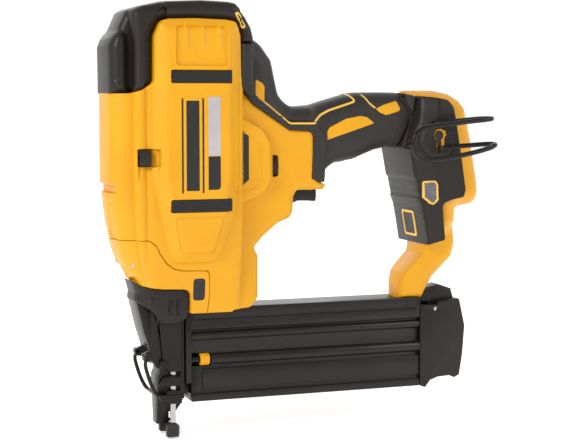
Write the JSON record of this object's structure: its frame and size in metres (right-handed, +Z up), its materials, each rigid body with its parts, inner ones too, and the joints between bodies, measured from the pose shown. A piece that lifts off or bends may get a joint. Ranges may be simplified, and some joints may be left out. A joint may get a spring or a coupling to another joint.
{
  "type": "brad nailer",
  "caption": "Cordless brad nailer: yellow moulded body over a flywheel drive, rubber grip, battery foot with wire belt hook, and a straight black magazine behind a steel nose",
  "frame": {"origin": "tip of the nose on the drive axis", "axes": "+Z up along the driver, +X back towards the handle and battery foot, +Y to the tool's right-hand side"},
  "size_m": [0.2736, 0.0954, 0.2945],
  "materials": {
    "yellow_abs": "moulded glass-filled nylon, satin, warm yellow",
    "yellow_trim": "moulded yellow plastic ring",
    "black_nylon": "moulded black nylon, fine texture",
    "grip_rubber": "soft overmoulded rubber, matt",
    "black_steel": "black coated steel",
    "black_aluminium": "black anodised extruded aluminium",
    "bright_steel": "ground steel",
    "spring_steel": "drawn spring wire",
    "brass": "turned brass",
    "circuit_board": "potted circuit board",
    "lamp_clear": "moulded clear lens"
  },
  "bodies": {
    "housing": {"housing_right": "yellow_abs", "housing_left": "yellow_abs", "nose_cover_right": "yellow_abs", "nose_cover_left": "yellow_abs", "housing_screws": "bright_steel", "top_cap": "black_nylon", "vent_grilles": "black_nylon", "grip_rubber_right": "grip_rubber", "grip_rubber_left": "grip_rubber", "foot_cover_left": "black_nylon", "foot_cover_right": "black_nylon", "lamp_lenses": "lamp_clear", "belt_hook": "black_steel", "nose_shroud": "black_nylon", "nosepiece": "black_steel", "door_pin": "black_steel", "magazine_rail": "black_aluminium", "magazine_rod": "black_steel", "rod_collar": "yellow_trim", "drive_frame": "black_aluminium", "guide_rods": "bright_steel", "bumpers": "grip_rubber", "return_springs": "spring_steel", "motor_stator": "bright_steel", "motor_bearings": "bright_steel", "arm_pivot_pin": "bright_steel", "solenoid": "bright_steel", "trigger_pin": "bright_steel", "trigger_switch": "black_nylon", "trigger_spring": "spring_steel", "trip_spring": "spring_steel", "battery_rails": "black_nylon", "battery_terminals": "brass", "controller": "circuit_board", "lamp_board": "circuit_board", "hook_screw": "bright_steel", "hook_inserts": "brass"},
    "contact_trip": {"contact_trip": "bright_steel", "no_mar_pad": "grip_rubber"},
    "jam_door": {"jam_door": "black_steel", "door_rivets": "black_steel"},
    "latch_bail": {"latch_bail": "black_steel"},
    "magazine": {"magazine_slide": "black_aluminium", "magazine_end_cap": "black_nylon", "latch_pin": "bright_steel", "latch_spring": "spring_steel", "pusher_spring": "spring_steel"},
    "magazine_latch": {"magazine_latch": "black_nylon"},
    "nail_pusher": {"nail_pusher": "bright_steel"},
    "driver": {"driver": "bright_steel"},
    "flywheel": {"flywheel": "bright_steel", "motor_shaft": "bright_steel"},
    "pinch_arm": {"pinch_arm": "bright_steel", "roller_axle": "bright_steel"},
    "pinch_roller": {"pinch_roller": "bright_steel"},
    "solenoid_plunger": {"solenoid_plunger": "bright_steel"},
    "trigger": {"trigger": "black_nylon"},
    "depth_wheel": {"depth_wheel": "black_nylon"},
    "depth_screw": {"depth_screw": "bright_steel"},
    "stall_lever": {"stall_lever": "black_nylon"}
  },
  "joints": [
    {"name": "trigger_pull", "type": "hinge", "parent": "housing", "child": "trigger", "pos_m": [0.089, 0, 0.165], "axis": [0, -1, 0], "range_deg": [0, 8], "stiffness_Nm_per_rad": 0.4, "springref_deg": -17.19, "deforming": ["trigger_spring"]},
    {"name": "contact_trip_travel", "type": "slide", "parent": "housing", "child": "contact_trip", "axis": [0, 0, 1], "range_m": [0, 0.007], "stiffness_N_per_m": 300, "springref_m": -0.004, "deforming": ["trip_spring"]},
    {"name": "jam_door_swing", "type": "hinge", "parent": "housing", "child": "jam_door", "pos_m": [-0.0186, 0, 0.0905], "axis": [0, 1, 0], "range_deg": [0, 35]},
    {"name": "bail_swing", "type": "hinge", "parent": "jam_door", "child": "latch_bail", "pos_m": [-0.0208, 0, 0.055], "axis": [0, 1, 0], "range_deg": [0, 60]},
    {"name": "magazine_travel", "type": "slide", "parent": "housing", "child": "magazine", "axis": [1, 0, 0], "range_m": [0, 0.13]},
    {"name": "latch_press", "type": "hinge", "parent": "magazine", "child": "magazine_latch", "pos_m": [0.1931, 0, 0.077], "axis": [0, 1, 0], "range_deg": [0, 12], "stiffness_Nm_per_rad": 0.3, "springref_deg": -11.46, "deforming": ["latch_spring"]},
    {"name": "pusher_travel", "type": "slide", "parent": "magazine", "child": "nail_pusher", "axis": [1, 0, 0], "range_m": [0, 0.13], "stiffness_N_per_m": 20, "springref_m": -0.15, "deforming": ["pusher_spring"]},
    {"name": "driver_stroke", "type": "slide", "parent": "housing", "child": "driver", "axis": [0, 0, -1], "range_m": [0, 0.088], "stiffness_N_per_m": 60, "springref_m": -0.06, "deforming": ["return_springs"]},
    {"name": "flywheel_spin", "type": "hinge", "parent": "housing", "child": "flywheel", "pos_m": [0.0271, 0, 0.19], "axis": [0, 1, 0], "continuous": true},
    {"name": "pinch_arm_rock", "type": "hinge", "parent": "housing", "child": "pinch_arm", "pos_m": [-0.009, 0, 0.164], "axis": [0, 1, 0], "range_deg": [0, 1.4], "stiffness_Nm_per_rad": 2, "springref_deg": -1.15},
    {"name": "pinch_roller_spin", "type": "hinge", "parent": "pinch_arm", "child": "pinch_roller", "pos_m": [-0.011, 0, 0.19], "axis": [0, 1, 0], "continuous": true},
    {"name": "plunger_travel", "type": "slide", "parent": "housing", "child": "solenoid_plunger", "axis": [1, 0, 0], "range_m": [0, 0.001]},
    {"name": "depth_wheel_turn", "type": "hinge", "parent": "housing", "child": "depth_wheel", "pos_m": [0.0685, 0, 0.182], "axis": [1, 0, 0], "range_deg": [-360, 360]},
    {"name": "depth_screw_travel", "type": "slide", "parent": "housing", "child": "depth_screw", "axis": [1, 0, 0], "range_m": [-0.0026, 0.0026]},
    {"name": "stall_lever_travel", "type": "slide", "parent": "housing", "child": "stall_lever", "axis": [1, 0, 0], "range_m": [0, 0.005], "stiffness_N_per_m": 100, "springref_m": -0.004}
  ],
  "couplings": [
    {"joint": "plunger_travel", "follows": "pinch_arm_rock", "m_per_rad": 0.0375},
    {"joint": "depth_screw_travel", "follows": "depth_wheel_turn", "m_per_rad": 0.0004}
  ]
}
